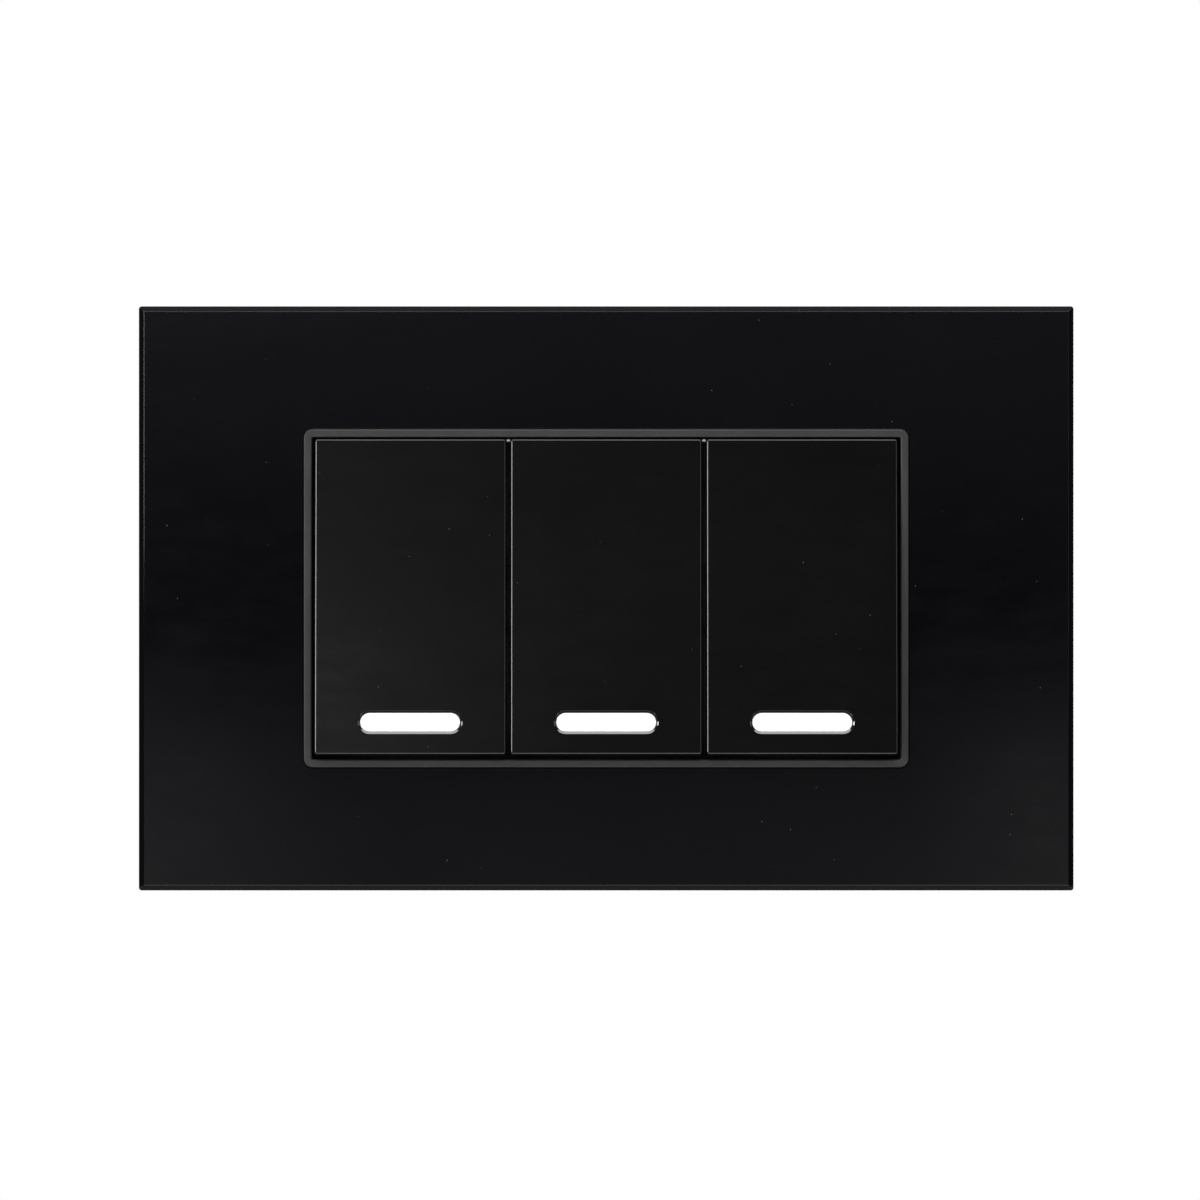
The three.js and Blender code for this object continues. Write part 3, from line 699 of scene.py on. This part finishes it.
def lens_shape():
    """The white insert: a slot-shaped body with a rounded front edge, and a flange behind the face plate."""
    front = FACE_Y + SLOT_BEVEL_T
    flange_front, flange_back = FACE_Y + ROCKER_T + 0.05 * MM, FACE_Y + ROCKER_T + 0.85 * MM
    wider, taller, soft, front_edge = 2.1 * MM, 1.8 * MM, 0.1 * MM, 0.08 * MM
    sections = (
        (wider - soft, taller - soft, flange_back),
        (wider, taller, flange_back - soft),
        (wider, taller, flange_front),
        (0, 0, flange_front),
    )
    loops = [slot_loop(LENS_W + u, LENS_H + v, y, LENS_Z) for u, v, y in sections]
    for inset, y in round_front(front, front_edge, 3):
        loops.append(slot_loop(LENS_W - 2 * inset, LENS_H - 2 * inset, y, LENS_Z))
    return soften(skin("lens", loops), 0.03 * MM, 1)


def plunger_shape():
    """A turned nylon pin with a round tip and a hollow front end for the spring."""
    guide_r, tip_r, cup_r = BORE_R - 0.15 * MM, 1.1 * MM, 1.2 * MM
    cup_floor, edge = PLUNGER_FRONT + 0.25 * MM, 0.15 * MM
    shoulder = PLUNGER_TIP - 2.8 * MM
    profile = [
        (0, cup_floor),
        (cup_r, cup_floor),
        (cup_r + 0.1 * MM, PLUNGER_FRONT),
        (guide_r - edge, PLUNGER_FRONT),
        (guide_r, PLUNGER_FRONT + edge),
        (guide_r, shoulder - edge),
        (guide_r - 0.12 * MM, shoulder),
        (tip_r, shoulder + 1.1 * MM),
    ]
    profile += arc((0, PLUNGER_TIP - tip_r), tip_r, 0, 80, 8)
    profile.append((0, PLUNGER_TIP))
    return smooth(lathe("plunger", profile, 40))


def spring_shape():
    """A compression spring with one closed turn at each end."""
    wire_r, coil_r, turns, steps, play = 0.22 * MM, 1.5 * MM, 6, 28, 0.05 * MM
    start, end = FACE_Y + ROCKER_T + wire_r + play, PLUNGER_FRONT - wire_r - play
    closed_rise = 2.05 * wire_r
    open_rise = (end - start - 2 * closed_rise) / (turns - 2)
    path = []
    for i in range(turns * steps + 1):
        turn = i / steps
        y = start + closed_rise * min(turn, 1) + open_rise * min(max(turn - 1, 0), turns - 2)
        y += closed_rise * max(turn - turns + 1, 0)
        angle = 2 * math.pi * turn
        path.append(Vector((coil_r * math.cos(angle), y, coil_r * math.sin(angle))))
    return smooth(tube("spring", path, wire_r, 8))


rocking = (
    (rocker_shape(), "rocker", "shell", "rocker", ROCKER_BLACK),
    (lens_shape(), "indicator_lens", "insert", "rocker", LENS_WHITE),
    (plunger_shape(), "plunger", "pin", "plunger", NYLON_WHITE),
    (spring_shape(), "plunger_spring", "coil", "rocker", SPRING_STEEL),
)
for shape, node, kind, body, material in rocking:
    for side, made in zip(SIDES, copies(shape, len(SIDES))):
        place = rocker_place(side)
        made.data.transform(place)
        finish_piece(made, f"{node}_{side}_{kind}", f"{body}_{side}", material, f"{node}_{side}")
        if node == "plunger_spring":
            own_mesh(made)


# ---------------------------------------------------------------- screws

def cross_recess(half, width, front, back):
    """A cross that narrows towards its floor."""
    corner, mouth, foot = 0.1 * MM, 1.15, 0.6
    ends = ((mouth, front), (foot, back))
    made = None
    for turn in (0, 90):
        bar = skin("bar", [rounded_loop(2 * half * k, width * k, corner, y, 3) for k, y in ends])
        bar.data.transform(Matrix.Rotation(math.radians(turn), 4, "Y"))
        made = bar if made is None else join(made, bar)
    return made


def mounting_screw():
    """A pan-head machine screw along y, its seat at y = 0 and its head towards the front."""
    shank_r, length, pitch, thread_depth = 1.7 * MM, 21.5 * MM, 0.6 * MM, 0.33 * MM
    head_r, head_t, crown_r, crown_start, edge = 3.1 * MM, 2 * MM, 1.1 * MM, -0.9 * MM, 0.15 * MM
    recess_half, recess_w, recess_floor = 1.55 * MM, 0.75 * MM, -0.7 * MM
    root_r, root_end = shank_r - thread_depth, 0.4 * MM
    profile = [(0, root_end), (root_r, root_end), (root_r, 0)]
    profile += [(head_r - edge, 0), (head_r, -edge), (head_r, crown_start)]
    profile += arc((head_r - crown_r, crown_start), crown_r, 0, -90, 8)
    profile.append((0, -head_t))
    recess = cross_recess(recess_half, recess_w, -head_t - 0.05 * MM, recess_floor)
    made = cut(lathe("head", profile), recess)
    join(made, threaded("shank", shank_r, thread_depth, pitch, 0.2 * MM, length))
    return smooth_by_angle(made)


def terminal_screw():
    """A cheese-head screw along y with a slot, its head towards the front and its seat at y = 0."""
    shank_r, length, pitch, thread_depth = 1.4 * MM, 3.3 * MM, 0.5 * MM, 0.28 * MM
    head_r, head_t, seat_edge, top_edge = 2.5 * MM, 1.5 * MM, 0.1 * MM, 0.25 * MM
    slot_half_l, slot_depth, slot_half_w = 3 * MM, 0.8 * MM, 0.33 * MM
    root_r, root_end = shank_r - thread_depth, 0.3 * MM
    bulge = 0.28 * top_edge
    profile = [
        (0, root_end),
        (root_r, root_end),
        (root_r, 0),
        (head_r - seat_edge, 0),
        (head_r, -seat_edge),
        (head_r, -head_t + top_edge),
        (head_r - bulge, -head_t + bulge),
        (head_r - top_edge, -head_t),
        (0, -head_t),
    ]
    slot_y = (-head_t - MM, -head_t + slot_depth)
    slot = blocks(((-slot_half_l, slot_half_l), slot_y, (-slot_half_w, slot_half_w)))
    made = cut(lathe("head", profile), slot)
    join(made, threaded("shank", shank_r, thread_depth, pitch, 0.15 * MM, length))
    return smooth_by_angle(made)


for side, made in zip(("left", "right"), copies(mounting_screw(), 2)):
    x = -SCREW_X if side == "left" else SCREW_X
    made.data.transform(Matrix.Translation((x, SCREW_SEAT, 0)))
    finish_piece(made, f"mounting_screw_{side}_pan_head", "frame", ZINC_STEEL, f"mounting_screw_{side}")

terminal_screw_places = [(which, side) for which in ("switched", "common") for side in SIDES]
terminal_screws = copies(terminal_screw(), len(terminal_screw_places))
for (which, side), made in zip(terminal_screw_places, terminal_screws):
    upper = which == "switched"
    turn_upright(made, front_up=upper)
    z = TERMINAL_SCREW_Z if upper else -TERMINAL_SCREW_Z
    made.data.transform(Matrix.Translation((module_x(side), TERMINAL_SCREW_Y, z)))
    finish_piece(made, f"{which}_screw_{side}_cheese_head", "frame", ZINC_STEEL, f"{which}_screw_{side}")


# ---------------------------------------------------------------- nodes that keep their shape

def keep(node, material, width, segments=2):
    """A CAD node that stays: its edges are rounded and it gets its finish."""
    dress(soften(frame["nodes"][node], width, segments), material)


keep("support_frame", FRAME_BLACK, 0.2 * MM)
for side in SIDES:
    keep(f"moving_contact_{side}", BRASS, 0.1 * MM)
    keep(f"cradle_{side}", FRAME_BLACK, 0.12 * MM)
    keep(f"housing_{side}", HOUSING_GREY, 0.25 * MM, 3)
    keep(f"switched_terminal_{side}", BRASS, 0.1 * MM)
    keep(f"common_terminal_{side}", BRASS, 0.1 * MM)


# ---------------------------------------------------------------- floor, light and camera

def floor():
    """A pale floor, well below the object so that views from below still see the object.

    Only the camera sees it bright, so that it doesn't light the object's lower edges.
    """
    half, below = 0.7, -0.55
    seen_glow, felt_glow = 0.98, 0.1
    corners = [(-half, -half, below), (half, -half, below), (half, half, below), (-half, half, below)]
    made = mesh_object("floor", corners, [(0, 1, 2, 3)])
    finish = Finish("floor_white")
    seen = finish.add("ShaderNodeLightPath").outputs["Is Camera Ray"]
    made.data.materials.append(finish.set({
        "Base Color": (0.1, 0.1, 0.1, 1),
        "Roughness": 0.8,
        "Emission Color": (1, 1, 1, 1),
        "Emission Strength": finish.span(seen, 0, 1, felt_glow, seen_glow),
    }))


def studio_world():
    """White behind the object. What the object itself sees is a dim room, and a dark card behind the camera.

    Soft light spills over the card: more above and below than in the middle, and more from the left.
    """
    world = bpy.data.worlds.new("studio")
    bpy.context.scene.world = world
    nodes = Nodes(world, "Generated")
    nodes.tree.nodes.remove(nodes.tree.nodes["Background"])
    x, y, z = nodes.add("ShaderNodeSeparateXYZ", {"Vector": nodes.place}).outputs

    def spill(amount, *bounds):
        """Light of this amount where every (coordinate, dark, bright) has reached its bright value."""
        level = amount
        for coordinate, dark, bright in bounds:
            level = nodes.math("MULTIPLY", level, nodes.span(coordinate, dark, bright, smooth=True))
        return level

    def background(strength):
        return nodes.add("ShaderNodeBackground", {"Color": (1, 1, 1, 1), "Strength": strength}).outputs[0]

    aside = nodes.math("ABSOLUTE", x, 0)
    upper = spill(0.125, (z, 0, 0.04))
    lower = spill(0.17, (z, 0, -0.04))
    lower_sides = spill(0.22, (aside, 0.045, 0.068), (z, -0.01, -0.026))
    from_left = nodes.span(x, -0.06, 0.06, 0.02, -0.09, smooth=True)
    upper_slope = nodes.math("MULTIPLY", from_left, nodes.span(z, 0.05, 0.08))
    upper_left = spill(0.6, (x, -0.026, -0.042), (z, 0.112, 0.092), (z, 0.05, 0.07))
    card = 0.015
    for part in (upper, lower, lower_sides, upper_slope, upper_left):
        card = nodes.math("ADD", card, part)
    overhead = nodes.span(z, 0.0, 1.0, 0.0, 0.3)
    underfoot = nodes.span(z, -0.1, -0.6, 0.0, 0.9)
    room = nodes.math("ADD", 0.035, nodes.math("ADD", overhead, underfoot))
    beside = nodes.span(y, -0.98, -0.75, smooth=True)
    beyond_card = nodes.math("MULTIPLY", beside, nodes.math("SUBTRACT", room, card))
    felt = background(nodes.math("ADD", card, beyond_card))
    seen = background(1.0)
    path = nodes.add("ShaderNodeLightPath").outputs["Is Camera Ray"]
    mix = nodes.add("ShaderNodeMixShader", {0: path, 1: felt, 2: seen}).outputs[0]
    nodes.feed(nodes.tree.nodes["World Output"].inputs["Surface"], mix)


def softbox(name, place, size, power):
    """A rectangular light that shines at the object."""
    light = bpy.data.lights.new(name, "AREA")
    light.shape = "RECTANGLE"
    light.size, light.size_y = size
    light.energy = power
    made = bpy.data.objects.new(name, light)
    bpy.context.scene.collection.objects.link(made)
    made.location = place
    made.rotation_euler = (-Vector(place)).to_track_quat("-Z", "Y").to_euler()


def camera():
    """Square on from the front with a long lens. The plate stands just right of and above the middle."""
    lens, sensor = 200.0, 36.0
    plate_share, right_of_middle, above_middle = 0.7795, 0.005167, 0.001333  # of the picture's width
    data = bpy.data.cameras.new("camera")
    data.lens, data.sensor_width = lens, sensor
    data.shift_x, data.shift_y = -right_of_middle, -above_middle
    data.clip_start, data.clip_end = 0.01, 20
    view_width = (PANEL_HIGH.x - PANEL_LOW.x) / plate_share
    made = bpy.data.objects.new("camera", data)
    bpy.context.scene.collection.objects.link(made)
    made.location = (0, PANEL_LOW.y - view_width * lens / sensor, 0)
    made.rotation_euler = (math.pi / 2, 0, 0)
    bpy.context.scene.camera = made


floor()
studio_world()
softbox("key_left", place=(-0.65, -0.6, 0.13), size=(0.3, 0.24), power=6)
softbox("fill_right", place=(0.65, -0.55, 0.12), size=(0.3, 0.3), power=0.6)
softbox("top", place=(0, -0.45, 0.75), size=(1.3, 0.3), power=13)
softbox("low", place=(0, -0.65, -0.38), size=(1.0, 0.2), power=4)
softbox("back_left", place=(-0.5, 0.7, 0.65), size=(0.9, 0.6), power=4)
softbox("back_right", place=(0.7, 0.65, 0.25), size=(0.6, 0.8), power=3)
camera()
bpy.context.scene.view_settings.view_transform = "Standard"
